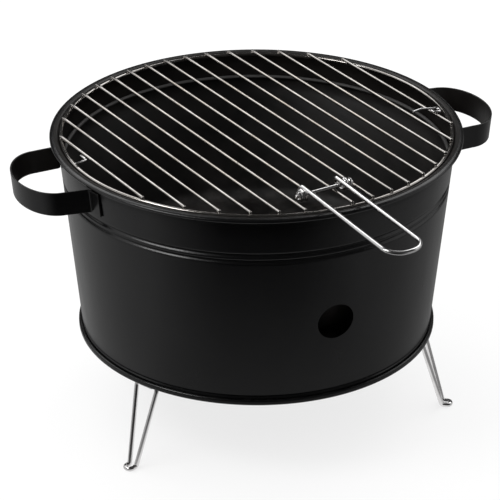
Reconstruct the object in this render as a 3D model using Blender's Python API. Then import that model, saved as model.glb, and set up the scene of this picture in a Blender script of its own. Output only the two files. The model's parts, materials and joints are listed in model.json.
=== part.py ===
"""Portable tabletop charcoal grill, built the way the real one is made.

A tapered sheet-steel bucket stands on three folding wire legs. A pressed charcoal bowl sits on
the bead inside the bucket, and a round wire grate with a hinged lifting handle lies on the rim.

Metres, +Z up. The origin is the centre of the flat underside of the base pan, and +X runs out
through the right-hand strap handle.
"""

import math

import bmesh
import bpy
from mathutils import Matrix, Vector

MM = 0.001

# Sheet and fits
SHEET = 0.8 * MM
FIT_GAP = 0.3 * MM
TURN_SEGMENTS = 48
WIRE_SIDES = 8
BEND_STEPS = 4
SHARP_ANGLE = math.radians(38)

# Bucket wall: outer radius at the top of the taper, and the taper itself
WALL_TOP_HEIGHT = 160.0 * MM
WALL_TOP_RADIUS = 162.95 * MM
WALL_TAPER = 0.0943
WALL_BOTTOM_HEIGHT = -2.7 * MM

# Grooves pressed into the wall: (centre height, half width, depth, steps)
SEAM_NECK = (2.8 * MM, 1.8 * MM, 0.9 * MM, 4)
LOWER_BEAD = (130.3 * MM, 2.8 * MM, 1.8 * MM, 6)
UPPER_BEAD = (135.9 * MM, 2.8 * MM, 1.8 * MM, 6)

# Shallow seat pressed into the wall under its rim, which carries the grate's ring
SEAT_BACK = (162.55 * MM, 164.0 * MM)
SEAT_EDGE = ((161.5 * MM, 166.2 * MM), (161.3 * MM, 168.0 * MM))

# Rolled rim of the bucket, pressed flatter than it is wide
RIM_RADIUS = 166.5 * MM
RIM_HEIGHT = 169.6 * MM
RIM_HALF_WIDTH = 3.1 * MM
RIM_HALF_HEIGHT = 1.7 * MM
RIM_ROLL_SWEEP = math.radians(302)
RIM_ROLL_STEPS = 11

# Air vents in the bucket wall
VENT_RADIUS = 15.5 * MM
VENT_HEIGHT = 68.0 * MM
VENT_ANGLES = (-87, 33, 153)
VENT_SIDES = 28
VENT_CUT_LENGTH = 30.0 * MM

# Base pan and the seam lip that grips the foot of the wall
PAN_REST_RADIUS = 115.0 * MM
PAN_CORNER_RADIUS = 146.1 * MM
LIP_RADIUS = 150.6 * MM
LIP_BOTTOM = -3.4 * MM
LIP_TOP = 0.6 * MM
LIP_EDGE_RADIUS = 148.75 * MM
PAN_BEND = 1.1 * MM
PAN_BEND_STEPS = 2

# Charcoal bowl
BOWL_FLOOR_HEIGHT = 45.4 * MM
BOWL_FLOOR_RADIUS = 130.5 * MM
BOWL_FLOOR_BEND = 14.0 * MM
BOWL_SHOULDER_FOOT = (157.51 * MM, 136.3 * MM)
BOWL_SHOULDER_TOP = (159.52 * MM, 139.5 * MM)
BOWL_RIM_RADIUS = 158.9 * MM
BOWL_RIM_HEIGHT = 149.4 * MM
BOWL_RIM_ROLL = 1.3 * MM
BOWL_RIM_SWEEP = math.radians(235)
BOWL_RIM_STEPS = 6
AIR_HOLE_RADIUS = 6.0 * MM
AIR_HOLE_CIRCLE = 70.0 * MM
AIR_HOLE_COUNT = 8
AIR_HOLE_SIDES = 12
AIR_HOLE_CUT_LENGTH = 8.0 * MM

# Strap handles
STRAP_THICKNESS = 1.5 * MM
STRAP_BOTTOM = 142.7 * MM
STRAP_TOP = 162.7 * MM
STRAP_MID = 152.7 * MM
STRAP_HALF_WIDTH = 43.5 * MM
STRAP_TAB_END = 55.5 * MM
STRAP_TAB_STEPS = 3
STRAP_BEND = 2.5 * MM
STRAP_LOOP_START = 178.6 * MM
STRAP_LOOP_HALF_WIDTH = 41.5 * MM
STRAP_LOOP_DEPTH = 28.0 * MM
STRAP_LOOP_STEPS = 18
STRAP_ANGLES = {"strap_handle_right": 0, "strap_handle_left": 180}

# Folding legs and their brackets
LEG_ANGLES = (-150, -30, 90)
LEG_WIRE = 2.0 * MM
PIVOT_RADIUS = 141.2 * MM
PIVOT_HEIGHT = -6.6 * MM
STUB_GAP = 0.6 * MM
STRAND_HALF_GAP = 11.0 * MM
FOOT_HALF_GAP = 3.5 * MM
FOOT_OUT = 20.3 * MM
FOOT_TIP_OUT = 27.3 * MM
FOOT_DROP = 68.4 * MM
LEG_TOP_BEND = 4.5 * MM
LEG_FOOT_BEND = 2.2 * MM
FOOT_TIP_BEND = 3.1 * MM
BRACKET_SHEET = 1.2 * MM
BRACKET_HALF_WIDTH = 6.0 * MM
BRACKET_TAB_LENGTH = 21.0 * MM
BRACKET_EYE = 2.9 * MM
BRACKET_EYE_SWEEP = math.radians(290)
BRACKET_EYE_STEPS = 9
BRACKET_BEND = 2.5 * MM

# Cooking grate
GRATE_TURN = math.radians(11)
RING_RADIUS = 160.4 * MM
RING_HEIGHT = 170.3 * MM
RING_WIRE = 1.6 * MM
BAR_COUNT = 16
BAR_PITCH = 19.0 * MM
BAR_FIELD_CENTRE = -3.5 * MM
BAR_WIRE = 1.3 * MM
BAR_HEIGHT = RING_HEIGHT + RING_WIRE + FIT_GAP + BAR_WIRE
BAR_END_RADIUS = 161.0 * MM

# Lifting handle of the grate and the rod it turns on
ROD_WIRE = 1.75 * MM
ROD_HEIGHT = BAR_HEIGHT + BAR_WIRE + FIT_GAP + ROD_WIRE
ROD_FORWARD = 134.7 * MM
ROD_ENDS = (-49.0 * MM, 4.0 * MM)
HANDLE_WIRE = 1.75 * MM
HANDLE_CENTRE = -23.4 * MM
HANDLE_HALF_WIDTH = 15.8 * MM
HANDLE_REACH = 116.5 * MM
HANDLE_CORNER = 14.0 * MM
HANDLE_TILT = math.radians(3.3)
HOOK_LENGTH = 4.5 * MM
HOOK_SHIFT = 1.9 * MM
COIL_RADIUS = ROD_WIRE + FIT_GAP + HANDLE_WIRE
COIL_PITCH = 3.9 * MM
COIL_TURNS = 1.5
COIL_STEPS = 15

# Small wire clips on the grate, as (across, along) points in the grate's own plan
CLIP_WIRE = 1.0 * MM
CLIP_ON_BARS = BAR_HEIGHT + BAR_WIRE + FIT_GAP + CLIP_WIRE
CLIP_ON_RING = RING_HEIGHT + RING_WIRE + FIT_GAP + CLIP_WIRE
CLIP_BEND = 2.0 * MM
CLIP_RIGHT_TAIL = ((122.0 * MM, -49.6 * MM), (130.8 * MM, -48.3 * MM))
CLIP_EYE_CENTRE = (140.3 * MM, -56.3 * MM)
CLIP_EYE_RADIUS = 3.6 * MM
CLIP_EYE_START = math.radians(65)
CLIP_EYE_SWEEP = math.radians(-285)
CLIP_EYE_STEPS = 12
CLIP_LEFT = ((-160.8 * MM, 14.8 * MM), (-149.6 * MM, 17.1 * MM), (-149.4 * MM, 26.9 * MM))


def material(name, colour, metallic, roughness):
    """A Principled material in one of the grill's finishes."""
    finish = bpy.data.materials.new(name)
    finish.use_nodes = True
    shader = finish.node_tree.nodes["Principled BSDF"]
    shader.inputs["Base Color"].default_value = (*colour, 1.0)
    shader.inputs["Metallic"].default_value = metallic
    shader.inputs["Roughness"].default_value = roughness
    finish.diffuse_color = (*colour, 1.0)
    return finish


def piece(name, shape, finish, parent=None, location=(0, 0, 0), rotation=(0, 0, 0)):
    """Turns a bmesh into a named object, smooth except at its sharp edges."""
    bmesh.ops.recalc_face_normals(shape, faces=shape.faces)
    data = bpy.data.meshes.new(name)
    shape.to_mesh(data)
    shape.free()
    data.shade_smooth()
    data.set_sharp_from_angle(angle=SHARP_ANGLE)
    data.materials.append(finish)
    made = bpy.data.objects.new(name, data)
    bpy.context.scene.collection.objects.link(made)
    made.parent = parent
    made.location = location
    made.rotation_euler = rotation
    return made


def frame(name, location=(0, 0, 0), rotation=(0, 0, 0)):
    """An empty that places the pieces parented to it."""
    made = bpy.data.objects.new(name, None)
    bpy.context.scene.collection.objects.link(made)
    made.location = location
    made.rotation_euler = rotation
    return made


def rounded(points, radii, steps=BEND_STEPS):
    """The polyline through the points, with an arc of the given radius at each inner corner."""
    points = [Vector(point).to_3d() for point in points]
    path = [points[0]]
    for before, corner, after, radius in zip(points, points[1:], points[2:], radii):
        back = (before - corner).normalized()
        ahead = (after - corner).normalized()
        turn = math.pi - back.angle(ahead)
        if radius == 0 or turn == 0:
            path.append(corner)
            continue
        centre = corner + (back + ahead).normalized() * radius / math.cos(turn / 2)
        first = corner + back * radius * math.tan(turn / 2) - centre
        axis = ahead.cross(back)
        for step in range(steps + 1):
            path.append(centre + Matrix.Rotation(turn * step / steps, 3, axis) @ first)
    path.append(points[-1])
    return path


def arc(centre, radius, start, sweep, steps):
    """Points round part of a circle in a plane, with both ends."""
    return [
        Vector((
            centre[0] + radius * math.cos(start + sweep * step / steps),
            centre[1] + radius * math.sin(start + sweep * step / steps),
        ))
        for step in range(steps + 1)
    ]


def sheet_sides(centreline, thickness):
    """The two faces of a bent sheet whose middle follows the polyline."""
    line = [Vector(point).to_2d() for point in centreline]
    ends = [2 * line[0] - line[1]] + line + [2 * line[-1] - line[-2]]
    sides = ([], [])
    for before, here, after in zip(ends, ends[1:], ends[2:]):
        arriving = (here - before).normalized()
        leaving = (after - here).normalized()
        along = (arriving + leaving).normalized()
        across = Vector((-along.y, along.x)) * thickness / 2 / along.dot(arriving)
        sides[0].append(here + across)
        sides[1].append(here - across)
    return sides


def turned_sheet(centreline):
    """A sheet pressed round Z: its middle follows (radius, height) points."""
    left, right = sheet_sides(centreline, SHEET)
    shape = bmesh.new()
    angles = [math.tau * turn / TURN_SEGMENTS for turn in range(TURN_SEGMENTS)]
    rings = []
    for radius, height in left + right[::-1]:
        if radius == 0:
            rings.append([shape.verts.new((0, 0, height))])
            continue
        ring = [(radius * math.cos(a), radius * math.sin(a), height) for a in angles]
        rings.append([shape.verts.new(point) for point in ring])
    for one, two in zip(rings, rings[1:] + rings[:1]):
        if len(one) == len(two) == 1:
            continue
        for turn in range(TURN_SEGMENTS):
            after = (turn + 1) % TURN_SEGMENTS
            corners = (
                one[turn % len(one)],
                one[after % len(one)],
                two[after % len(two)],
                two[turn % len(two)],
            )
            shape.faces.new(dict.fromkeys(corners))
    return shape


def folded_strip(centreline, thickness, place):
    """A bent strip: place(point, side) puts a plan point on side -1 or +1 of its width."""
    shape = bmesh.new()
    sections = []
    for left, right in zip(*sheet_sides(centreline, thickness)):
        corners = (place(left, -1), place(right, -1), place(right, 1), place(left, 1))
        sections.append([shape.verts.new(corner) for corner in corners])
    skin(shape, sections, closed=False)
    return shape


def wire(path, radius, closed=False, sides=WIRE_SIDES):
    """A round wire along a path, with flat cut ends unless it is closed into a ring."""
    path = [Vector(point).to_3d() for point in path]
    count = len(path)
    shape = bmesh.new()
    sections = []
    normal = None
    for index, here in enumerate(path):
        before = path[index - 1] if closed or index else here
        after = path[(index + 1) % count] if closed or index + 1 < count else here
        arriving = (here - before).normalized()
        leaving = (after - here).normalized()
        along = (arriving + leaving).normalized()
        if normal is None:
            normal = Vector((0, 0, 1)) if abs(along.z) < abs(along.x) + abs(along.y) else Vector((1, 0, 0))
        normal = (normal - along * normal.dot(along)).normalized()
        across = along.cross(normal)
        angles = [math.tau * side / sides for side in range(sides)]
        ring = [here + (normal * math.cos(a) + across * math.sin(a)) * radius for a in angles]
        sections.append([shape.verts.new(point) for point in ring])
    skin(shape, sections, closed)
    return shape


def skin(shape, sections, closed):
    """Joins matching rings of vertices with faces, and caps both ends of an open run."""
    following = sections[1:] + sections[:1] if closed else sections[1:]
    for one, two in zip(sections, following):
        for index in range(len(one)):
            after = (index + 1) % len(one)
            shape.faces.new((one[index], one[after], two[after], two[index]))
    if not closed:
        shape.faces.new(sections[0])
        shape.faces.new(sections[-1])


def drill(target, name, places, radius, length, sides):
    """Cuts one round hole through the target at each placement matrix, along its local Z."""
    shape = bmesh.new()
    for place in places:
        bmesh.ops.create_cone(
            shape,
            cap_ends=True,
            segments=sides,
            radius1=radius,
            radius2=radius,
            depth=length,
            matrix=place,
        )
    cutter = piece(name, shape, target.data.materials[0])
    cutter.hide_render = True
    cutter.display_type = "WIRE"
    cut = target.modifiers.new(name, "BOOLEAN")
    cut.operation = "DIFFERENCE"
    cut.solver = "EXACT"
    cut.object = cutter


def wall_radius(height):
    """Outer radius of the plain tapered wall."""
    return WALL_TOP_RADIUS - WALL_TAPER * (WALL_TOP_HEIGHT - height)


def groove(centre, half_width, depth, steps):
    """Middle-of-sheet (radius, height) points through one rounded groove in the wall."""
    points = []
    for step in range(steps + 1):
        across = 2 * step / steps - 1
        height = centre + half_width * across
        dent = depth * (1 + math.cos(math.pi * across)) / 2
        points.append((wall_radius(height) - SHEET / 2 - dent, height))
    return points


def bucket_shell(paint):
    """The tapered wall with its neck, two beads, grate seat, rolled rim and air vents."""
    beads = groove(*LOWER_BEAD) + groove(*UPPER_BEAD)[1:]
    wall = [(wall_radius(WALL_BOTTOM_HEIGHT) - SHEET / 2, WALL_BOTTOM_HEIGHT)]
    wall += groove(*SEAM_NECK) + beads
    wall += [(WALL_TOP_RADIUS - SHEET / 2, WALL_TOP_HEIGHT), SEAT_BACK, *SEAT_EDGE]
    roll = [
        (RIM_RADIUS + RIM_HALF_WIDTH * point.x, RIM_HEIGHT + RIM_HALF_HEIGHT * point.y)
        for point in arc((0, 0), 1, math.pi, -RIM_ROLL_SWEEP, RIM_ROLL_STEPS)
    ]
    shell = piece("bucket_shell", turned_sheet(wall + roll), paint)
    sideways = Matrix.Rotation(math.radians(90), 4, "Y")
    vents = [
        Matrix.Rotation(math.radians(angle), 4, "Z")
        @ Matrix.Translation((wall_radius(VENT_HEIGHT), 0, VENT_HEIGHT))
        @ sideways
        for angle in VENT_ANGLES
    ]
    drill(shell, "vent_cutter", vents, VENT_RADIUS, VENT_CUT_LENGTH, VENT_SIDES)


def base_pan(paint):
    """The flat pan whose edge is folded down, out and back over the foot of the wall.

    A ring of edges at PAN_REST_RADIUS parts its clear middle from the band over the brackets.
    """
    corners = (
        (0, SHEET / 2),
        (PAN_REST_RADIUS, SHEET / 2),
        (PAN_CORNER_RADIUS, SHEET / 2),
        (PAN_CORNER_RADIUS, LIP_BOTTOM),
        (LIP_RADIUS, LIP_BOTTOM),
        (LIP_RADIUS, LIP_TOP),
        (LIP_EDGE_RADIUS, LIP_TOP),
    )
    piece("base_pan", turned_sheet(rounded(corners, [0] + [PAN_BEND] * 4, PAN_BEND_STEPS)), paint)


def charcoal_bowl(enamel):
    """The lift-out bowl: its shoulder sits on the upper bead and its floor has air holes."""
    side = rounded(
        ((0, BOWL_FLOOR_HEIGHT), (BOWL_FLOOR_RADIUS, BOWL_FLOOR_HEIGHT), BOWL_SHOULDER_FOOT),
        [BOWL_FLOOR_BEND],
    )
    rim = arc(
        (BOWL_RIM_RADIUS, BOWL_RIM_HEIGHT), BOWL_RIM_ROLL, 0, BOWL_RIM_SWEEP, BOWL_RIM_STEPS
    )
    line = [point.to_2d() for point in side] + [BOWL_SHOULDER_TOP] + rim
    bowl = piece("charcoal_bowl", turned_sheet(line), enamel)
    holes = [
        Matrix.Rotation(math.tau * index / AIR_HOLE_COUNT, 4, "Z")
        @ Matrix.Translation((AIR_HOLE_CIRCLE, 0, BOWL_FLOOR_HEIGHT))
        for index in range(AIR_HOLE_COUNT)
    ]
    drill(bowl, "air_hole_cutter", holes, AIR_HOLE_RADIUS, AIR_HOLE_CUT_LENGTH, AIR_HOLE_SIDES)


def strap_handle(name, angle, paint):
    """One carrying strap: a bent loop whose two tabs lie flat on the bucket wall."""
    tab_radius = wall_radius(STRAP_MID) + FIT_GAP + STRAP_THICKNESS / 2
    tab_start = math.asin(STRAP_TAB_END / tab_radius)
    tab_sweep = math.asin(STRAP_HALF_WIDTH / tab_radius) - tab_start
    tab = arc((0, 0), tab_radius, -tab_start, -tab_sweep, STRAP_TAB_STEPS)
    loop_start = Vector((STRAP_LOOP_START, -STRAP_LOOP_HALF_WIDTH))
    radii = [0] * (STRAP_TAB_STEPS - 1) + [STRAP_BEND]
    half = [point.to_2d() for point in rounded(tab + [loop_start], radii)]
    bend = [
        Vector((
            STRAP_LOOP_START + STRAP_LOOP_DEPTH * math.cos(turn),
            STRAP_LOOP_HALF_WIDTH * math.sin(turn),
        ))
        for turn in (math.pi * (step / STRAP_LOOP_STEPS - 0.5) for step in range(1, STRAP_LOOP_STEPS))
    ]
    other_half = [Vector((point.x, -point.y)) for point in reversed(half)]

    def place(point, side):
        height = STRAP_TOP if side > 0 else STRAP_BOTTOM
        return point.x + WALL_TAPER * (height - STRAP_MID), point.y, height

    strip = folded_strip(half + bend + other_half, STRAP_THICKNESS, place)
    piece(name, strip, paint, rotation=(0, 0, math.radians(angle)))


def leg_bracket(name, spot, zinc):
    """A strip folded into a hinge eye, fixed under the base pan."""
    tab_height = -PIVOT_HEIGHT - FIT_GAP - BRACKET_SHEET / 2
    tab = rounded(
        ((-BRACKET_TAB_LENGTH, tab_height), (-BRACKET_EYE, tab_height), (-BRACKET_EYE, 0)),
        [BRACKET_BEND],
    )
    eye = arc((0, 0), BRACKET_EYE, math.pi, BRACKET_EYE_SWEEP, BRACKET_EYE_STEPS)
    line = [point.to_2d() for point in tab[:-1]] + eye

    def place(point, side):
        return point.x, side * BRACKET_HALF_WIDTH, point.y

    piece(name, folded_strip(line, BRACKET_SHEET, place), zinc, parent=spot)


def leg(name, spot, chrome):
    """One hairpin leg: its two stubs turn in the bracket eye, and its foot curls outwards."""
    half = [
        (0, STUB_GAP, 0),
        (0, STRAND_HALF_GAP, 0),
        (FOOT_OUT, FOOT_HALF_GAP, -FOOT_DROP),
        (FOOT_TIP_OUT, FOOT_HALF_GAP, -FOOT_DROP),
    ]
    other_half = [(out, -across, drop) for out, across, drop in reversed(half)]
    radii = [LEG_TOP_BEND, LEG_FOOT_BEND, FOOT_TIP_BEND]
    path = rounded(half + other_half, radii + radii[::-1])
    piece(name, wire(path, LEG_WIRE), chrome, parent=spot)


def grate_bars(spot, chrome):
    """The parallel bars across the ring, numbered from the handle-left side."""
    for index in range(BAR_COUNT):
        across = BAR_FIELD_CENTRE + BAR_PITCH * (index - (BAR_COUNT - 1) / 2)
        along = math.sqrt(BAR_END_RADIUS**2 - across**2)
        path = ((0, -along, 0), (0, along, 0))
        place = (across, 0, BAR_HEIGHT)
        piece(f"grate_bar_{index + 1:02d}", wire(path, BAR_WIRE), chrome, spot, place)


def handle_half(side):
    """Path of one arm of the lifting handle, from the end of its coil out to the grip."""
    coil = []
    for step in range(COIL_STEPS + 1):
        turns = COIL_TURNS * (1 - step / COIL_STEPS)
        angle = -math.pi / 2 - math.tau * turns
        across = HANDLE_HALF_WIDTH + HOOK_SHIFT + COIL_PITCH * turns
        along = COIL_RADIUS * math.cos(angle)
        coil.append((side * across, along, COIL_RADIUS * math.sin(angle)))
    hook = []
    for step in range(BEND_STEPS * 2 + 1):
        done = step / (BEND_STEPS * 2)
        angle = math.pi * (done - 0.5)
        across = HANDLE_HALF_WIDTH + HOOK_SHIFT * (1 - done)
        along = HOOK_LENGTH + COIL_RADIUS * math.cos(angle)
        hook.append((side * across, along, COIL_RADIUS * math.sin(angle)))
    corner = (side * HANDLE_HALF_WIDTH, -HANDLE_REACH, COIL_RADIUS)
    grip = (0, -HANDLE_REACH, COIL_RADIUS)
    return coil + hook[:-1] + rounded((hook[-1], corner, grip), [HANDLE_CORNER])


def grate_handle(spot, chrome):
    """The U-shaped lifting handle, coiled round the rod at both arms."""
    path = handle_half(-1) + handle_half(1)[-2::-1]
    place = (HANDLE_CENTRE, -ROD_FORWARD, ROD_HEIGHT)
    piece("grate_handle", wire(path, HANDLE_WIRE), chrome, spot, place, (HANDLE_TILT, 0, 0))


def grate_clips(spot, chrome):
    """Two small wire clips: one across the last two bars, one hooked over the ring."""
    eye = arc(CLIP_EYE_CENTRE, CLIP_EYE_RADIUS, CLIP_EYE_START, CLIP_EYE_SWEEP, CLIP_EYE_STEPS)
    right = wire(list(CLIP_RIGHT_TAIL) + eye, CLIP_WIRE)
    piece("clip_right", right, chrome, spot, (0, 0, CLIP_ON_BARS))
    left = wire(rounded(CLIP_LEFT, [CLIP_BEND]), CLIP_WIRE)
    piece("clip_left", left, chrome, spot, (0, 0, CLIP_ON_RING))


def cooking_grate(chrome):
    """The round grate: ring, bars, hinge rod, lifting handle and clips."""
    spot = frame("grate_frame", rotation=(0, 0, GRATE_TURN))
    circle = arc((0, 0), RING_RADIUS, -GRATE_TURN, math.tau, TURN_SEGMENTS)[:-1]
    ring = wire(circle, RING_WIRE, closed=True)
    piece("grate_ring", ring, chrome, spot, (0, 0, RING_HEIGHT))
    grate_bars(spot, chrome)
    rod = wire([(end, 0, 0) for end in ROD_ENDS], ROD_WIRE)
    piece("grate_handle_rod", rod, chrome, spot, (0, -ROD_FORWARD, ROD_HEIGHT))
    grate_handle(spot, chrome)
    grate_clips(spot, chrome)


def build():
    """Clears the scene and builds every piece of the grill."""
    for old in list(bpy.data.objects):
        bpy.data.objects.remove(old)
    paint = material("satin_black", (0.012, 0.012, 0.013), 0.0, 0.38)
    enamel = material("bowl_enamel", (0.022, 0.021, 0.021), 0.0, 0.55)
    chrome = material("chrome_wire", (0.62, 0.62, 0.63), 1.0, 0.14)
    zinc = material("zinc_plate", (0.50, 0.51, 0.52), 1.0, 0.38)

    bucket_shell(paint)
    base_pan(paint)
    for name, angle in STRAP_ANGLES.items():
        strap_handle(name, angle, paint)
    for number, degrees in enumerate(LEG_ANGLES, 1):
        angle = math.radians(degrees)
        pivot = (PIVOT_RADIUS * math.cos(angle), PIVOT_RADIUS * math.sin(angle), PIVOT_HEIGHT)
        spot = frame(f"leg_pivot_{number}", pivot, (0, 0, angle))
        leg_bracket(f"leg_bracket_{number}", spot, zinc)
        leg(f"leg_{number}", spot, chrome)
    charcoal_bowl(enamel)
    cooking_grate(chrome)


build()
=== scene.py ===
"""Looks of the portable tabletop charcoal grill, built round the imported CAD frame.

Metres, in the CAD's own frame: +Z up, +X through the right-hand strap, the origin at the centre
of the base pan's flat underside. Every sheet and wire is remade at a finer resolution on its CAD
node's own dimensions, and rides on that node's body.
"""

import json
import math

import bmesh
import bpy
from mathutils import Matrix, Vector


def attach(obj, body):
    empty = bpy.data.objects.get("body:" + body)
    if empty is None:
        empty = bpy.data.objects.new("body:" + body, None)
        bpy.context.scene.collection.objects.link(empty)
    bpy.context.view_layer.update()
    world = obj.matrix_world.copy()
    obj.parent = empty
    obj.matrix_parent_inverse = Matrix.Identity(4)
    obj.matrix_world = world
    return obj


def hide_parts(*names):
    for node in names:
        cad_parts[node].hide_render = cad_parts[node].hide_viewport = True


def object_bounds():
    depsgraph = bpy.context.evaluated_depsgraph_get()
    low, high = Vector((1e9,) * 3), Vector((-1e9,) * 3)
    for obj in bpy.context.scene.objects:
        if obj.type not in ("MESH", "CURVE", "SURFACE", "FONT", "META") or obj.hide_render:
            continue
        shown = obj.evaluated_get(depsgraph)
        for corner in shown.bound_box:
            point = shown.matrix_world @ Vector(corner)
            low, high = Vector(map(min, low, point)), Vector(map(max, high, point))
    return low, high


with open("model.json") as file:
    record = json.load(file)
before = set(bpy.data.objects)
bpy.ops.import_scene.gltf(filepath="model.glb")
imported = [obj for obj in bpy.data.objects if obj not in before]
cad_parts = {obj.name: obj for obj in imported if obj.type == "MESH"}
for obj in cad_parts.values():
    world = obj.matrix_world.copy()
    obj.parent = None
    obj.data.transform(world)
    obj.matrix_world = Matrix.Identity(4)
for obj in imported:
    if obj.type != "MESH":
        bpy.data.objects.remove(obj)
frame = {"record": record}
cad_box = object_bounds()
BODY_OF = {node: body for body, nodes in frame["record"]["behaviour"]["bodies"].items() for node in nodes}

MM = 0.001

# How finely shapes are drawn
TURNS = 192
RING_STEPS = 256
ROLL_STEPS = 44
ARC_STEPS = 30
SHARP = 34

# Sheet and fits
SHEET = 0.8 * MM
FIT_GAP = 0.3 * MM

# Bucket wall: outer radius at the top of the taper, and the taper itself
WALL_TOP_HEIGHT = 160.0 * MM
WALL_TOP_RADIUS = 162.95 * MM
WALL_TAPER = 0.0943
WALL_BOTTOM_HEIGHT = -2.7 * MM

# Grooves pressed into the wall: (centre height, half width, depth, steps), and between them the
# heights that keep the plain wall's shading straight
SEAM_NECK = (2.8 * MM, 1.8 * MM, 0.9 * MM, 8)
LOWER_BEAD = (130.3 * MM, 2.8 * MM, 1.8 * MM, 16)
UPPER_BEAD = (135.9 * MM, 2.8 * MM, 1.8 * MM, 16)
PLAIN_BELOW_BEADS = (5.2 * MM, 30 * MM, 60 * MM, 90 * MM, 115 * MM, 126.8 * MM)
PLAIN_ABOVE_BEADS = (139.4 * MM, 150 * MM)

# Grate seat and rolled rim
SEAT = ((162.55 * MM, 164.0 * MM), (161.5 * MM, 166.2 * MM), (161.3 * MM, 168.0 * MM))
RIM_RADIUS = 166.5 * MM
RIM_HEIGHT = 169.6 * MM
RIM_HALF_WIDTH = 3.1 * MM
RIM_HALF_HEIGHT = 1.7 * MM
RIM_ROLL_SWEEP = math.radians(302)

# Air vents
VENT_RADIUS = 15.5 * MM
VENT_HEIGHT = 68 * MM
VENT_ANGLES = (-87, 33, 153)
VENT_SIDES = 72
VENT_CUT_LENGTH = 30 * MM

# Base pan and its seam lip
PAN_CORNER_RADIUS = 146.1 * MM
LIP_RADIUS = 150.6 * MM
LIP_BOTTOM = -3.4 * MM
LIP_TOP = 0.6 * MM
LIP_EDGE_RADIUS = 148.75 * MM
PAN_BEND = 1.1 * MM

# Charcoal bowl
BOWL_FLOOR_HEIGHT = 45.4 * MM
BOWL_FLOOR_RADIUS = 130.5 * MM
BOWL_FLOOR_BEND = 14 * MM
BOWL_SHOULDER_FOOT = (157.51 * MM, 136.3 * MM)
BOWL_SHOULDER_TOP = (159.52 * MM, 139.5 * MM)
BOWL_RIM = (158.9 * MM, 149.4 * MM)
BOWL_RIM_ROLL = 1.3 * MM
BOWL_RIM_SWEEP = math.radians(235)
AIR_HOLE_RADIUS = 6 * MM
AIR_HOLE_CIRCLE = 70 * MM
AIR_HOLE_COUNT = 8
AIR_HOLE_SIDES = 40
AIR_HOLE_CUT_LENGTH = 8 * MM

# Strap handles
STRAP_THICKNESS = 1.5 * MM
STRAP_MID = 152.7 * MM
STRAP_HALF_HEIGHT = 10 * MM
STRAP_HALF_WIDTH = 43.5 * MM
STRAP_TAB_END = 55.5 * MM
STRAP_TAB_STEPS = 4
STRAP_BEND = 2.5 * MM
STRAP_LOOP_START = 178.6 * MM
STRAP_LOOP_HALF_WIDTH = 41.5 * MM
STRAP_LOOP_DEPTH = 28 * MM
STRAP_LOOP_STEPS = 60
STRAP_EDGE = 0.45 * MM
STRAP_ANGLES = {"strap_handle_right": 0, "strap_handle_left": 180}

# Folding legs and their brackets
LEG_ANGLES = (-150, -30, 90)
LEG_WIRE = 2 * MM
PIVOT_RADIUS = 141.2 * MM
PIVOT_HEIGHT = -6.6 * MM
STUB_GAP = 0.6 * MM
STRAND_HALF_GAP = 11 * MM
FOOT_HALF_GAP = 3.5 * MM
FOOT_OUT = 20.3 * MM
FOOT_TIP_OUT = 27.3 * MM
FOOT_DROP = 68.4 * MM
LEG_BENDS = (4.5 * MM, 2.2 * MM, 3.1 * MM)
BRACKET_SHEET = 1.2 * MM
BRACKET_HALF_WIDTH = 6 * MM
BRACKET_TAB_LENGTH = 21 * MM
BRACKET_TAB_HEIGHT = 5.7 * MM
BRACKET_EYE = 2.9 * MM
BRACKET_EYE_SWEEP = math.radians(290)
BRACKET_BEND = 2.5 * MM
BRACKET_EDGE = 0.25 * MM

# Cooking grate
GRATE_TURN = 11
RING_RADIUS = 160.4 * MM
RING_HEIGHT = 170.3 * MM
RING_WIRE = 1.6 * MM
BAR_COUNT = 16
BAR_PITCH = 19 * MM
BAR_FIELD_CENTRE = -3.5 * MM
BAR_WIRE = 1.3 * MM
BAR_HEIGHT = 173.5 * MM
BAR_END_RADIUS = 161 * MM
BAR_STEPS = 24

# Lifting handle of the grate and the rod it turns on
ROD_HEIGHT = 176.85 * MM
ROD_FORWARD = 134.7 * MM
ROD_WIRE = 1.75 * MM
ROD_POINTS = (-49 * MM, -30 * MM, -10 * MM, 4 * MM)
BARS_UNDER_ROD = (6, 7)
HANDLE_WIRE = 1.75 * MM
HANDLE_CENTRE = -23.4 * MM
HANDLE_HALF_WIDTH = 15.8 * MM
HANDLE_REACH = 116.5 * MM
HANDLE_CORNER = 14 * MM
HANDLE_TILT = math.radians(3.3)
HOOK_LENGTH = 4.5 * MM
HOOK_SHIFT = 1.9 * MM
HOOK_STEPS = 16
COIL_RADIUS = 3.8 * MM
COIL_PITCH = 3.9 * MM
COIL_TURNS = 1.5
COIL_STEPS = 60

# Small wire clips, as points in the grate's own plan
CLIP_WIRE = 1 * MM
CLIP_ON_BARS = 176.1 * MM
CLIP_ON_RING = 173.2 * MM
CLIP_BEND = 2 * MM
CLIP_RIGHT_TAIL = [(122 * MM, -49.6 * MM), (130.8 * MM, -48.3 * MM)]
CLIP_EYE_CENTRE = (140.3 * MM, -56.3 * MM)
CLIP_EYE_RADIUS = 3.6 * MM
CLIP_EYE_START = math.radians(65)
CLIP_EYE_SWEEP = math.radians(-285)
CLIP_LEFT = [(-160.8 * MM, 14.8 * MM), (-149.6 * MM, 17.1 * MM), (-149.4 * MM, 26.9 * MM)]

# Weld nuggets: half sizes, and how far they sit below or above a bar's middle
NUGGET = (1.1 * MM, 1.2 * MM, 0.6 * MM)
NUGGET_BELOW_BAR = 1.5 * MM
NUGGET_ABOVE_BAR = 1.4 * MM


# ---------------------------------------------------------------- shapes


def wall_radius(height):
    """Outer radius of the plain tapered wall."""
    return WALL_TOP_RADIUS - WALL_TAPER * (WALL_TOP_HEIGHT - height)


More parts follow.
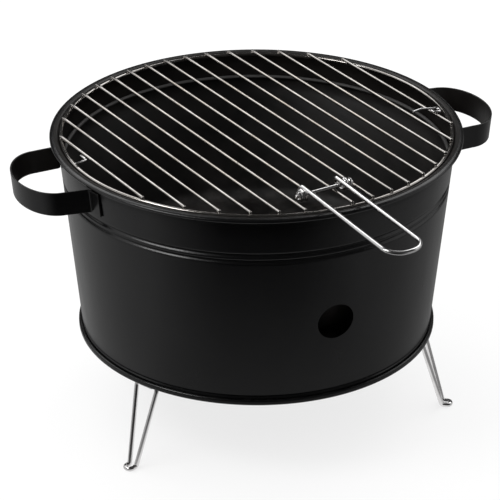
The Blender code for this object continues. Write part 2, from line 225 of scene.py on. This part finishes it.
def rounded(points, radii, steps=10):
    """The polyline through the points, with an arc of the given radius at each inner corner."""
    points = [Vector(point).to_3d() for point in points]
    path = [points[0]]
    for before, corner, after, radius in zip(points, points[1:], points[2:], radii):
        back = (before - corner).normalized()
        ahead = (after - corner).normalized()
        turn = math.pi - back.angle(ahead)
        if radius == 0 or turn == 0:
            path.append(corner)
            continue
        centre = corner + (back + ahead).normalized() * radius / math.cos(turn / 2)
        first = corner + back * radius * math.tan(turn / 2) - centre
        axis = ahead.cross(back)
        for step in range(steps + 1):
            path.append(centre + Matrix.Rotation(turn * step / steps, 3, axis) @ first)
    path.append(points[-1])
    return path


def arc(centre, radius, start, sweep, steps):
    """Points round part of a circle in a plane, with both ends."""
    turns = [start + sweep * step / steps for step in range(steps + 1)]
    return [Vector((centre[0] + radius * math.cos(t), centre[1] + radius * math.sin(t))) for t in turns]


def sheet_sides(centreline, thickness):
    """The two faces of a bent sheet whose middle follows the polyline."""
    line = [Vector(point).to_2d() for point in centreline]
    ends = [2 * line[0] - line[1]] + line + [2 * line[-1] - line[-2]]
    sides = ([], [])
    for before, here, after in zip(ends, ends[1:], ends[2:]):
        arriving = (here - before).normalized()
        along = (arriving + (after - here).normalized()).normalized()
        across = Vector((-along.y, along.x)) * thickness / 2 / along.dot(arriving)
        sides[0].append(here + across)
        sides[1].append(here - across)
    return sides


def turned_sheet(centreline):
    """A sheet pressed round Z: its middle follows (radius, height) points."""
    left, right = sheet_sides(centreline, SHEET)
    shape = bmesh.new()
    angles = [math.tau * turn / TURNS for turn in range(TURNS)]
    rings = []
    for radius, height in left + right[::-1]:
        if radius == 0:
            rings.append([shape.verts.new((0, 0, height))])
        else:
            ring = [(radius * math.cos(a), radius * math.sin(a), height) for a in angles]
            rings.append([shape.verts.new(point) for point in ring])
    for one, two in zip(rings, rings[1:] + rings[:1]):
        if len(one) == len(two) == 1:
            continue
        for turn in range(TURNS):
            after = (turn + 1) % TURNS
            corners = [one[turn % len(one)], one[after % len(one)]]
            corners += [two[after % len(two)], two[turn % len(two)]]
            shape.faces.new(dict.fromkeys(corners))
    return shape


def skin(shape, sections):
    """Joins matching rings of vertices with faces and caps both ends."""
    for one, two in zip(sections, sections[1:]):
        for index in range(len(one)):
            after = (index + 1) % len(one)
            shape.faces.new((one[index], one[after], two[after], two[index]))
    shape.faces.new(sections[0])
    shape.faces.new(sections[-1])


def folded_strip(centreline, thickness, place):
    """A bent strip: place(point, side) puts a plan point on side -1 or +1 of its width."""
    shape = bmesh.new()
    sections = []
    for left, right in zip(*sheet_sides(centreline, thickness)):
        corners = (place(left, -1), place(right, -1), place(right, 1), place(left, 1))
        sections.append([shape.verts.new(corner) for corner in corners])
    skin(shape, sections)
    return shape


# ---------------------------------------------------------------- pieces


def finish_piece(made, node, look):
    """Gives a piece its look, and lets it ride with its CAD node's body."""
    bpy.context.scene.collection.objects.link(made)
    made.data.materials.append(look)
    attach(made, BODY_OF[node])
    return made


def mesh_piece(name, shape, look, node, matrix=Matrix(), sharp=SHARP, stands=True):
    """A mesh piece from a bmesh, smooth except at its sharp edges."""
    shape.transform(matrix)
    bmesh.ops.recalc_face_normals(shape, faces=shape.faces)
    data = bpy.data.meshes.new(name)
    shape.to_mesh(data)
    shape.free()
    data.shade_smooth()
    data.set_sharp_from_angle(angle=math.radians(sharp))
    made = finish_piece(bpy.data.objects.new(name, data), node, look)
    if stands:
        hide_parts(node)
    return made


def wire_piece(node, path, radius, look, matrix=Matrix(), closed=False):
    """A round wire along a path, with softly rounded cut ends, in place of its CAD node."""
    path = [matrix @ Vector(point).to_3d() for point in path]
    radii = [1.0] * len(path)
    if not closed:
        ends = ((0.0, 0.55), (0.12, 0.8), (0.32, 0.95), (0.6, 1.0))
        first, last = (path[1] - path[0]).normalized(), (path[-2] - path[-1]).normalized()
        head = [path[0] + first * radius * out for out, _ in ends]
        tail = [path[-1] + last * radius * out for out, _ in reversed(ends)]
        radii = [r for _, r in ends] + radii[1:-1] + [r for _, r in reversed(ends)]
        path = head + path[1:-1] + tail
    curve = bpy.data.curves.new("v_" + node, "CURVE")
    curve.dimensions = "3D"
    curve.bevel_depth = radius
    curve.bevel_resolution = 5
    curve.use_fill_caps = not closed
    spline = curve.splines.new("POLY")
    spline.points.add(len(path) - 1)
    for point, place, size in zip(spline.points, path, radii):
        point.co = (*place, 1.0)
        point.radius = size
    spline.use_cyclic_u = closed
    spline.use_smooth = True
    made = finish_piece(bpy.data.objects.new("v_" + node, curve), node, look)
    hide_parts(node)
    return made


def cut(target, name, places, radius, length, sides):
    """Cuts a round hole through the target at each placement matrix, and shades the result smooth."""
    shape = bmesh.new()
    for place in places:
        bmesh.ops.create_cone(
            shape, cap_ends=True, segments=sides, radius1=radius, radius2=radius, depth=length, matrix=place
        )
    data = bpy.data.meshes.new(name)
    shape.to_mesh(data)
    shape.free()
    cutter = bpy.data.objects.new(name, data)
    bpy.context.scene.collection.objects.link(cutter)
    hole = target.modifiers.new(name, "BOOLEAN")
    hole.object = cutter
    hole.solver = "EXACT"
    bpy.context.view_layer.update()
    solid = bpy.data.meshes.new_from_object(target.evaluated_get(bpy.context.evaluated_depsgraph_get()))
    target.modifiers.clear()
    target.data = solid
    bpy.data.objects.remove(cutter)
    solid.shade_smooth()
    solid.set_sharp_from_angle(angle=math.radians(SHARP))


def ease_edges(made, width, segments, harden=False):
    """Rounds a strip's long edges and cut ends a little."""
    ease = made.modifiers.new("eased_edges", "BEVEL")
    ease.width = width
    ease.segments = segments
    ease.limit_method = "ANGLE"
    ease.angle_limit = math.radians(50)
    ease.harden_normals = harden


# ---------------------------------------------------------------- materials


class Look:
    """A Principled material whose nodes are added with short calls."""

    def __init__(self, name):
        self.made = bpy.data.materials.new(name)
        self.made.use_nodes = True
        self.tree = self.made.node_tree
        self.shader = self.tree.nodes["Principled BSDF"]
        self.place = self.node("ShaderNodeTexCoord").outputs["Object"]

    def node(self, kind, **settings):
        added = self.tree.nodes.new(kind)
        for key, value in settings.items():
            setattr(added, key, value)
        return added

    def feed(self, socket, value):
        if isinstance(value, bpy.types.NodeSocket):
            self.tree.links.new(value, socket)
        else:
            socket.default_value = value

    def set(self, **values):
        for key, value in values.items():
            self.feed(self.shader.inputs[key.replace("_", " ")], value)

    def noise(self, scale, detail=4.0, rough=0.55, stretch=(1, 1, 1), distort=0.0):
        mapping = self.node("ShaderNodeMapping")
        mapping.inputs["Scale"].default_value = stretch
        self.feed(mapping.inputs["Vector"], self.place)
        added = self.node("ShaderNodeTexNoise")
        self.feed(added.inputs["Vector"], mapping.outputs[0])
        settings = {"Scale": scale, "Detail": detail, "Roughness": rough, "Distortion": distort}
        for key, value in settings.items():
            added.inputs[key].default_value = value
        return added.outputs["Fac"]

    def span(self, value, low, high, out_low=0.0, out_high=1.0):
        added = self.node("ShaderNodeMapRange", interpolation_type="SMOOTHSTEP")
        for index, number in enumerate((value, low, high, out_low, out_high)):
            self.feed(added.inputs[index], number)
        return added.outputs[0]

    def math(self, operation, one, two=0.0):
        added = self.node("ShaderNodeMath", operation=operation)
        self.feed(added.inputs[0], one)
        self.feed(added.inputs[1], two)
        return added.outputs[0]

    def mix(self, share, one, two):
        added = self.node("ShaderNodeMix", data_type="RGBA")
        self.feed(added.inputs[0], share)
        self.feed(added.inputs[6], (*one, 1.0) if isinstance(one, tuple) else one)
        self.feed(added.inputs[7], (*two, 1.0) if isinstance(two, tuple) else two)
        return added.outputs[2]

    def third(self, vector):
        """The Z part of a vector."""
        split = self.node("ShaderNodeSeparateXYZ")
        self.feed(split.inputs[0], vector)
        return split.outputs[2]

    def from_axis(self):
        """The vector from the Z axis to the shaded point."""
        flat = self.node("ShaderNodeVectorMath", operation="MULTIPLY")
        self.feed(flat.inputs[0], self.place)
        flat.inputs[1].default_value = (1, 1, 0)
        return flat.outputs[0]

    def normal(self):
        """Which way the surface faces, in the world."""
        return self.node("ShaderNodeNewGeometry").outputs["Normal"]

    def height(self):
        """Height of the shaded point."""
        return self.third(self.place)

    def radius(self):
        """Distance of the shaded point from the Z axis."""
        length = self.node("ShaderNodeVectorMath", operation="LENGTH")
        self.feed(length.inputs[0], self.from_axis())
        return length.outputs["Value"]

    def upward(self):
        """How far the surface faces up."""
        return self.third(self.normal())

    def facing_in(self):
        """One where the surface faces the Z axis, zero where it faces away."""
        along = self.node("ShaderNodeVectorMath", operation="DOT_PRODUCT")
        self.feed(along.inputs[0], self.from_axis())
        self.feed(along.inputs[1], self.normal())
        return self.span(along.outputs["Value"], 0.02, -0.02)

    def bump(self, height, strength, distance, under=None):
        added = self.node("ShaderNodeBump")
        added.inputs["Strength"].default_value = strength
        added.inputs["Distance"].default_value = distance
        self.feed(added.inputs["Height"], height)
        if under is not None:
            self.feed(added.inputs["Normal"], under)
        return added.outputs[0]


def satin_black():
    """Heat-proof satin paint: faint orange peel, handling smudges, dust on top, soot inside."""
    look = Look("satin_black_paint")
    cloud = look.noise(14, 5, 0.6)
    smudge = look.noise(26, 6, 0.65, (1, 1, 0.35), 0.6)
    paint, worn = (0.0012, 0.0012, 0.0014), (0.0022, 0.0022, 0.0024)
    colour = look.mix(look.span(cloud, 0.35, 0.7), paint, worn)
    specks = look.span(look.noise(90, 6, 0.7), 0.45, 0.75)
    dust = look.math("MULTIPLY", look.span(look.upward(), 0.55, 1.0), specks)
    colour = look.mix(look.math("MULTIPLY", dust, 0.10), colour, (0.055, 0.052, 0.048))
    inside = look.math("MULTIPLY", look.facing_in(), look.span(look.height(), 0.1, 0.12))
    soot = look.math("MULTIPLY", inside, look.span(look.noise(34, 7, 0.7), 0.3, 0.7, 0.55, 1.0))
    colour = look.mix(soot, colour, (0.0075, 0.0058, 0.0048))
    rough = look.span(smudge, 0.3, 0.72, 0.20, 0.28)
    rough = look.math("ADD", rough, look.math("MULTIPLY", soot, 0.26))
    peel = look.bump(look.noise(620, 2, 0.5), 0.10, 0.0006)
    waves = look.bump(look.noise(38, 2, 0.4), 0.10, 0.0010, peel)
    look.set(Base_Color=colour, Roughness=rough, Normal=waves)
    look.set(**{"Specular IOR Level": 0.46})
    return look.made


def bowl_enamel():
    """Matte black enamel, burnt and dusted with ash where the coals lie, with a painted highlight along its
    curled top edge.
    """
    look = Look("sooty_bowl_enamel")
    height = look.height()
    patches = look.noise(22, 8, 0.68, distort=0.4)
    grain = look.noise(210, 5, 0.7)
    clean, burnt = (0.0022, 0.0020, 0.0020), (0.0075, 0.0052, 0.0044)
    colour = look.mix(look.span(patches, 0.35, 0.68), clean, burnt)
    drifts = look.span(look.noise(30, 8, 0.72), 0.38, 0.62)
    ash = look.math("MULTIPLY", look.span(height, 0.085, 0.046), drifts)
    ash = look.math("MULTIPLY", ash, look.span(look.upward(), 0.05, 0.7))
    settled = look.math("MULTIPLY", ash, look.span(grain, 0.2, 0.75, 0.15, 0.7))
    colour = look.mix(settled, colour, (0.050, 0.045, 0.042))
    flecks = look.span(look.noise(46, 8, 0.75), 0.6, 0.74)
    rust = look.math("MULTIPLY", flecks, look.span(height, 0.14, 0.07))
    colour = look.mix(look.math("MULTIPLY", rust, 0.5), colour, (0.030, 0.012, 0.006))
    # Painted highlight: the curled top edge is coloured light grey to stand in for the light it catches.
    rim = look.span(height, 0.1486, 0.1502)
    colour = look.mix(look.math("MULTIPLY", rim, 0.8), colour, (0.055, 0.053, 0.052))
    rough = look.span(patches, 0.3, 0.7, 0.42, 0.62)
    rough = look.math("ADD", rough, look.math("MULTIPLY", ash, 0.25))
    relief = look.bump(grain, 0.25, 0.0007)
    look.set(Base_Color=colour, Roughness=rough, Normal=look.bump(patches, 0.2, 0.002, relief))
    return look.made


def chrome(name, bright, dull, burnt=0.0):
    """Chromed wire, a little dulled; burnt is how far heat over the coals has browned it."""
    look = Look(name)
    cloud = look.noise(60, 5, 0.6)
    fine = look.noise(900, 3, 0.6)
    colour = look.mix(look.span(cloud, 0.3, 0.7), bright, dull)
    rough = look.span(cloud, 0.3, 0.75, 0.10, 0.20)
    if burnt:
        over_coals = look.span(look.radius(), 0.165, 0.09)
        tint = look.math("MULTIPLY", over_coals, look.span(look.noise(40, 5, 0.6), 0.3, 0.7))
        colour = look.mix(look.math("MULTIPLY", tint, burnt), colour, (0.46, 0.36, 0.25))
        spots = look.math("MULTIPLY", over_coals, look.span(look.noise(150, 7, 0.75), 0.58, 0.68))
        colour = look.mix(look.math("MULTIPLY", spots, burnt), colour, (0.030, 0.020, 0.014))
        rough = look.math("ADD", rough, look.math("MULTIPLY", spots, 0.35))
        rough = look.math("ADD", rough, look.math("MULTIPLY", tint, 0.08))
    look.set(Base_Color=colour, Roughness=rough, Metallic=1.0, Normal=look.bump(fine, 0.03, 0.0001))
    return look.made


def zinc():
    """Zinc-plated folded sheet with a faint spangle."""
    look = Look("zinc_plate")
    cloud = look.noise(70, 4, 0.5)
    spangle = look.node("ShaderNodeTexVoronoi", feature="F1")
    spangle.inputs["Scale"].default_value = 320
    look.feed(spangle.inputs["Vector"], look.place)
    cells = look.math("MULTIPLY", spangle.outputs["Color"], 0.3)
    shade = look.math("ADD", look.math("MULTIPLY", cloud, 0.5), cells)
    colour = look.mix(look.span(shade, 0.2, 0.8), (0.34, 0.35, 0.36), (0.52, 0.53, 0.54))
    rough = look.span(cloud, 0.3, 0.7, 0.30, 0.46)
    look.set(Base_Color=colour, Roughness=rough, Metallic=1.0, Normal=look.bump(cloud, 0.1, 0.0004))
    return look.made


def weld_look():
    """The small heat-darkened nuggets where wires are welded."""
    look = Look("weld_nugget")
    cloud = look.noise(500, 5, 0.6)
    colour = look.mix(look.span(cloud, 0.3, 0.7), (0.22, 0.20, 0.18), (0.42, 0.40, 0.38))
    rough = look.span(cloud, 0.3, 0.7, 0.32, 0.5)
    look.set(Base_Color=colour, Roughness=rough, Metallic=1.0, Normal=look.bump(cloud, 0.2, 0.0003))
    return look.made


PAINT = satin_black()
ENAMEL = bowl_enamel()
CHROME = chrome("chrome_wire", (0.86, 0.85, 0.85), (0.74, 0.73, 0.73))
# Painted shade: the grate's chrome is a darker copy of the wire chrome, standing in for the darker
# reflections of its ring and bars; the brown over the coals is heat colour.
SHADED_GRATE_CHROME = chrome("shaded_grate_chrome", (0.52, 0.50, 0.48), (0.36, 0.34, 0.32), burnt=0.3)
ZINC = zinc()
WELD = weld_look()


# ---------------------------------------------------------------- bucket


def groove(centre, half_width, depth, steps):
    """Middle-of-sheet (radius, height) points through one rounded groove in the wall."""
    points = []
    for step in range(steps + 1):
        across = 2 * step / steps - 1
        height = centre + half_width * across
        dent = depth * (1 + math.cos(math.pi * across)) / 2
        points.append((wall_radius(height) - SHEET / 2 - dent, height))
    return points


def plain_wall(heights):
    """Middle-of-sheet points up the plain taper."""
    return [(wall_radius(height) - SHEET / 2, height) for height in heights]


def bucket_shell():
    """Wall with its neck, beads, grate seat, rolled rim and vents."""
    wall = plain_wall([WALL_BOTTOM_HEIGHT]) + groove(*SEAM_NECK) + plain_wall(PLAIN_BELOW_BEADS)
    wall += groove(*LOWER_BEAD) + groove(*UPPER_BEAD)[1:]
    wall += plain_wall([*PLAIN_ABOVE_BEADS, WALL_TOP_HEIGHT]) + list(SEAT)
    roll = [
        (RIM_RADIUS + RIM_HALF_WIDTH * point.x, RIM_HEIGHT + RIM_HALF_HEIGHT * point.y)
        for point in arc((0, 0), 1, math.pi, -RIM_ROLL_SWEEP, ROLL_STEPS)
    ]
    shell = mesh_piece("v_bucket_shell", turned_sheet(wall + roll), PAINT, "bucket_shell")
    vents = [
        Matrix.Rotation(math.radians(angle), 4, "Z")
        @ Matrix.Translation((wall_radius(VENT_HEIGHT), 0, VENT_HEIGHT))
        @ Matrix.Rotation(math.radians(90), 4, "Y")
        for angle in VENT_ANGLES
    ]
    cut(shell, "vents", vents, VENT_RADIUS, VENT_CUT_LENGTH, VENT_SIDES)


def base_pan():
    """The flat pan whose edge is folded over the foot of the wall."""
    corners = (
        (0, SHEET / 2),
        (PAN_CORNER_RADIUS, SHEET / 2),
        (PAN_CORNER_RADIUS, LIP_BOTTOM),
        (LIP_RADIUS, LIP_BOTTOM),
        (LIP_RADIUS, LIP_TOP),
        (LIP_EDGE_RADIUS, LIP_TOP),
    )
    pan = turned_sheet(rounded(corners, [PAN_BEND] * 4, 8))
    mesh_piece("v_base_pan", pan, PAINT, "base_pan")


def charcoal_bowl():
    """Pressed bowl with its shoulder, curled edge and air holes."""
    corners = ((0, BOWL_FLOOR_HEIGHT), (BOWL_FLOOR_RADIUS, BOWL_FLOOR_HEIGHT), BOWL_SHOULDER_FOOT)
    side = [point.to_2d() for point in rounded(corners, [BOWL_FLOOR_BEND], 14)]
    rim = arc(BOWL_RIM, BOWL_RIM_ROLL, 0, BOWL_RIM_SWEEP, 20)
    shape = turned_sheet(side + [BOWL_SHOULDER_TOP] + rim)
    bowl = mesh_piece("v_charcoal_bowl", shape, ENAMEL, "charcoal_bowl")
    holes = [
        Matrix.Rotation(math.tau * index / AIR_HOLE_COUNT, 4, "Z")
        @ Matrix.Translation((AIR_HOLE_CIRCLE, 0, BOWL_FLOOR_HEIGHT))
        for index in range(AIR_HOLE_COUNT)
    ]
    cut(bowl, "air_holes", holes, AIR_HOLE_RADIUS, AIR_HOLE_CUT_LENGTH, AIR_HOLE_SIDES)


def strap(node, angle):
    """A carrying strap with eased edges."""
    tab_radius = wall_radius(STRAP_MID) + FIT_GAP + STRAP_THICKNESS / 2
    tab_start = math.asin(STRAP_TAB_END / tab_radius)
    tab_sweep = math.asin(STRAP_HALF_WIDTH / tab_radius) - tab_start
    tab = arc((0, 0), tab_radius, -tab_start, -tab_sweep, STRAP_TAB_STEPS)
    loop_start = Vector((STRAP_LOOP_START, -STRAP_LOOP_HALF_WIDTH))
    half = rounded(tab + [loop_start], [0] * (STRAP_TAB_STEPS - 1) + [STRAP_BEND])
    half = [point.to_2d() for point in half]
    bend = []
    for step in range(1, STRAP_LOOP_STEPS):
        turn = math.pi * (step / STRAP_LOOP_STEPS - 0.5)
        out = STRAP_LOOP_START + STRAP_LOOP_DEPTH * math.cos(turn)
        bend.append(Vector((out, STRAP_LOOP_HALF_WIDTH * math.sin(turn))))
    other = [Vector((point.x, -point.y)) for point in reversed(half)]

    def place(point, side):
        rise = side * STRAP_HALF_HEIGHT
        return point.x + WALL_TAPER * rise, point.y, STRAP_MID + rise

    strip = folded_strip(half + bend + other, STRAP_THICKNESS, place)
    turned = Matrix.Rotation(math.radians(angle), 4, "Z")
    made = mesh_piece("v_" + node, strip, PAINT, node, turned)
    ease_edges(made, STRAP_EDGE, 3, harden=True)


# ---------------------------------------------------------------- legs


def leg(number, pivot):
    """One hairpin leg with its stubs in the bracket's eye and its foot curled outwards."""
    half = [
        Vector((0, STUB_GAP, 0)),
        Vector((0, STRAND_HALF_GAP, 0)),
        Vector((FOOT_OUT, FOOT_HALF_GAP, -FOOT_DROP)),
        Vector((FOOT_TIP_OUT, FOOT_HALF_GAP, -FOOT_DROP)),
    ]
    other = [Vector((point.x, -point.y, point.z)) for point in reversed(half)]
    path = rounded(half + other, LEG_BENDS + LEG_BENDS[::-1])
    wire_piece(f"leg_{number}", path, LEG_WIRE, CHROME, pivot)


def leg_bracket(number, pivot):
    """A strip folded into a hinge eye under the base pan."""
    end = (-BRACKET_TAB_LENGTH, BRACKET_TAB_HEIGHT)
    corner = (-BRACKET_EYE, BRACKET_TAB_HEIGHT)
    tab = [point.to_2d() for point in rounded((end, corner, (-BRACKET_EYE, 0)), [BRACKET_BEND])]
    eye = arc((0, 0), BRACKET_EYE, math.pi, BRACKET_EYE_SWEEP, ARC_STEPS)

    def place(point, side):
        return point.x, side * BRACKET_HALF_WIDTH, point.y

    node = f"leg_bracket_{number}"
    strip = folded_strip(tab[:-1] + eye, BRACKET_SHEET, place)
    made = mesh_piece("v_" + node, strip, ZINC, node, pivot)
    ease_edges(made, BRACKET_EDGE, 2)


def legs():
    """The three brackets and legs, each on its own pivot."""
    for number, degrees in enumerate(LEG_ANGLES, 1):
        angle = math.radians(degrees)
        spot = (PIVOT_RADIUS * math.cos(angle), PIVOT_RADIUS * math.sin(angle), PIVOT_HEIGHT)
        pivot = Matrix.Translation(spot) @ Matrix.Rotation(angle, 4, "Z")
        leg(number, pivot)
        leg_bracket(number, pivot)


# ---------------------------------------------------------------- grate


GRATE = Matrix.Rotation(math.radians(GRATE_TURN), 4, "Z")


def at_height(height):
    """The grate's own plan, lifted to a height."""
    return GRATE @ Matrix.Translation((0, 0, height))


def bar_across(index):
    """Distance of a bar from the grate's centre line."""
    return BAR_FIELD_CENTRE + BAR_PITCH * (index - (BAR_COUNT - 1) / 2)


def half_chord(radius, across):
    """Half the length of a straight line across a circle, at a distance from its middle."""
    return math.sqrt(radius**2 - across**2)


def ring_and_bars():
    """The grate's ring and the bars across it."""
    circle = arc((0, 0), RING_RADIUS, 0, math.tau, RING_STEPS)[:-1]
    wire_piece("grate_ring", circle, RING_WIRE, SHADED_GRATE_CHROME, at_height(RING_HEIGHT), closed=True)
    for index in range(BAR_COUNT):
        across = bar_across(index)
        end = half_chord(BAR_END_RADIUS, across)
        line = [(across, end * (2 * step / BAR_STEPS - 1), BAR_HEIGHT) for step in range(BAR_STEPS + 1)]
        wire_piece(f"grate_bar_{index + 1:02d}", line, BAR_WIRE, SHADED_GRATE_CHROME, GRATE)


def handle_half(side):
    """Path of one arm of the lifting handle, from the end of its coil out to the grip."""
    coil = []
    for step in range(COIL_STEPS + 1):
        turns = COIL_TURNS * (1 - step / COIL_STEPS)
        angle = -math.pi / 2 - math.tau * turns
        across = HANDLE_HALF_WIDTH + HOOK_SHIFT + COIL_PITCH * turns
        coil.append((side * across, COIL_RADIUS * math.cos(angle), COIL_RADIUS * math.sin(angle)))
    hook = []
    for step in range(HOOK_STEPS + 1):
        done = step / HOOK_STEPS
        angle = math.pi * (done - 0.5)
        across = HANDLE_HALF_WIDTH + HOOK_SHIFT * (1 - done)
        along = HOOK_LENGTH + COIL_RADIUS * math.cos(angle)
        hook.append((side * across, along, COIL_RADIUS * math.sin(angle)))
    corner = (side * HANDLE_HALF_WIDTH, -HANDLE_REACH, COIL_RADIUS)
    grip = (0, -HANDLE_REACH, COIL_RADIUS)
    return coil + hook[:-1] + rounded((hook[-1], corner, grip), [HANDLE_CORNER], 18)


def rod_and_handle():
    """The rod on the bars, and the lifting handle coiled round it."""
    rod = [(end, -ROD_FORWARD, ROD_HEIGHT) for end in ROD_POINTS]
    wire_piece("grate_handle_rod", rod, ROD_WIRE, CHROME, GRATE)
    hinge = Matrix.Translation((HANDLE_CENTRE, -ROD_FORWARD, ROD_HEIGHT))
    tilt = Matrix.Rotation(HANDLE_TILT, 4, "X")
    path = handle_half(-1) + handle_half(1)[-2::-1]
    wire_piece("grate_handle", path, HANDLE_WIRE, CHROME, GRATE @ hinge @ tilt)


def clips():
    """The two small wire clips."""
    eye = arc(CLIP_EYE_CENTRE, CLIP_EYE_RADIUS, CLIP_EYE_START, CLIP_EYE_SWEEP, 40)
    wire_piece("clip_right", CLIP_RIGHT_TAIL + eye, CLIP_WIRE, CHROME, at_height(CLIP_ON_BARS))
    left = rounded(CLIP_LEFT, [CLIP_BEND])
    wire_piece("clip_left", left, CLIP_WIRE, CHROME, at_height(CLIP_ON_RING))


def welds():
    """A nugget at each end of each bar, and under the rod."""
    spots = []
    for index in range(BAR_COUNT):
        across = bar_across(index)
        reach = half_chord(RING_RADIUS, across)
        spots += [(across, side * reach, BAR_HEIGHT - NUGGET_BELOW_BAR) for side in (-1, 1)]
    spots += [(bar_across(index), -ROD_FORWARD, BAR_HEIGHT + NUGGET_ABOVE_BAR) for index in BARS_UNDER_ROD]
    nuggets = bmesh.new()
    for spot in spots:
        shape = Matrix.Translation(spot) @ Matrix.Diagonal((*NUGGET, 1))
        bmesh.ops.create_uvsphere(nuggets, u_segments=14, v_segments=8, radius=1, matrix=shape)
    mesh_piece("v_grate_welds", nuggets, WELD, "grate_ring", GRATE, 180, stands=False)


bucket_shell()
base_pan()
charcoal_bowl()
for side_name, side_angle in STRAP_ANGLES.items():
    strap(side_name, side_angle)
legs()
ring_and_bars()
rod_and_handle()
clips()
welds()


# ---------------------------------------------------------------- stage


VIEW_TURN = math.radians(-21)
VIEW_RISE = math.radians(27.21)
VIEW_DISTANCE = 2.106
VIEW_TARGET = Vector((-0.0050, 0.0019, 0.0590))
LIGHT_AIM = Vector((0, 0, 0.1))
FLOOR_HALF_SIZE = 12


def floor_look():
    """Pale and nearly shadowless; in the grill's reflections, bright at the sides and dark in front."""
    made = bpy.data.materials.new("pale_floor")
    made.use_nodes = True
    tree = made.node_tree
    tree.nodes.clear()

    def add(kind, *values, **settings):
        added = tree.nodes.new(kind)
        for key, value in settings.items():
            setattr(added, key, value)
        for index, value in enumerate(values):
            if isinstance(value, bpy.types.NodeSocket):
                tree.links.new(value, added.inputs[index])
            elif value is not None:
                added.inputs[index].default_value = value
        return added

    place = add("ShaderNodeTexCoord").outputs["Object"]
    out = add("ShaderNodeVectorMath", place, operation="NORMALIZE").outputs[0]
    ahead = (math.sin(VIEW_TURN), -math.cos(VIEW_TURN), 0)
    aside = (math.cos(VIEW_TURN), math.sin(VIEW_TURN), 0)
    front = add("ShaderNodeVectorMath", out, ahead, operation="DOT_PRODUCT").outputs["Value"]
    right = add("ShaderNodeVectorMath", out, aside, operation="DOT_PRODUCT").outputs["Value"]
    far = add("ShaderNodeVectorMath", place, operation="LENGTH").outputs["Value"]
    side = add("ShaderNodeMapRange", front, 0.95, 0.58, 0.0, 1.0).outputs[0]
    bright = add("ShaderNodeMapRange", right, -0.3, 0.3, 0.42, 0.27).outputs[0]
    near = add("ShaderNodeMapRange", far, 0.46, 0.24, 0.0, 0.30).outputs[0]
    around = add("ShaderNodeMix", side, None, near, bright, data_type="FLOAT").outputs[0]
    under = add("ShaderNodeMapRange", far, 0.205, 0.165, 0.0, 1.0).outputs[0]
    shine = add("ShaderNodeMix", under, None, around, 0.8, data_type="FLOAT").outputs[0]
    mirrored = add("ShaderNodeEmission", (1, 1, 1, 1), shine).outputs[0]
    matte = add("ShaderNodeBsdfDiffuse", (0.86, 0.86, 0.86, 1)).outputs[0]
    glow = add("ShaderNodeEmission", (1, 1, 1, 1), 1.0).outputs[0]
    seen = add("ShaderNodeMixShader", 0.75, matte, glow).outputs[0]
    rays = add("ShaderNodeLightPath").outputs
    lit = add("ShaderNodeMixShader", rays["Is Camera Ray"], matte, seen).outputs[0]
    both = add("ShaderNodeMixShader", rays["Is Glossy Ray"], lit, mirrored).outputs[0]
    add("ShaderNodeOutputMaterial", both)
    return made


def floor():
    """A wide pale floor under the feet."""
    shape = bmesh.new()
    bmesh.ops.create_grid(shape, x_segments=1, y_segments=1, size=FLOOR_HALF_SIZE)
    data = bpy.data.meshes.new("floor")
    shape.to_mesh(data)
    shape.free()
    made = bpy.data.objects.new("floor", data)
    bpy.context.scene.collection.objects.link(made)
    made.location.z = cad_box[0][2]
    data.materials.append(floor_look())


def direction(turn, rise):
    """Unit vector at a turn round Z from -Y and a rise above the horizon."""
    return Vector((math.sin(turn) * math.cos(rise), -math.cos(turn) * math.cos(rise), math.sin(rise)))


def softbox(name, azimuth, elevation, distance, size, power):
    """A rectangular soft light, placed by its direction from the grill, from the camera's side."""
    turn = VIEW_TURN + math.radians(azimuth)
    rise = math.radians(elevation)
    away = direction(turn, rise)
    data = bpy.data.lights.new(name, "AREA")
    data.shape = "RECTANGLE"
    data.size, data.size_y = size
    data.energy = power
    made = bpy.data.objects.new(name, data)
    bpy.context.scene.collection.objects.link(made)
    made.location = LIGHT_AIM + away * distance
    made.rotation_euler = away.to_track_quat("Z", "Y").to_euler()
    return made


def studio():
    """White surroundings that light the floor, dim in reflections, with soft boxes round the grill."""
    world = bpy.data.worlds.new("studio")
    bpy.context.scene.world = world
    world.use_nodes = True
    tree = world.node_tree
    sky = tree.nodes["Background"]
    sky.inputs["Color"].default_value = (1, 1, 1, 1)
    bpy.context.scene.view_settings.view_transform = "Standard"
    rays = tree.nodes.new("ShaderNodeLightPath")
    dim = tree.nodes.new("ShaderNodeMapRange")
    dim.inputs[3].default_value = 1.0
    dim.inputs[4].default_value = 0.04
    tree.links.new(rays.outputs["Is Glossy Ray"], dim.inputs[0])
    tree.links.new(dim.outputs[0], sky.inputs["Strength"])
    softbox("left_box", -95, 20, 1.8, (2.2, 1.2), 6)
    softbox("right_box", 100, 20, 1.8, (1.6, 1.2), 4)
    softbox("back_left_box", -142, 46, 1.8, (1.2, 0.9), 7)
    softbox("back_right_box", 142, 46, 1.8, (1.2, 0.9), 7)
    softbox("key_box", -62, 46, 1.7, (0.7, 0.5), 9)


def camera():
    """The camera at the grill's three-quarter view from above."""
    data = bpy.data.cameras.new("camera")
    data.lens = 180
    data.sensor_width = 36
    made = bpy.data.objects.new("camera", data)
    bpy.context.scene.collection.objects.link(made)
    away = direction(VIEW_TURN, VIEW_RISE)
    made.location = VIEW_TARGET + away * VIEW_DISTANCE
    made.rotation_euler = away.to_track_quat("Z", "Y").to_euler()
    bpy.context.scene.camera = made


floor()
studio()
camera()
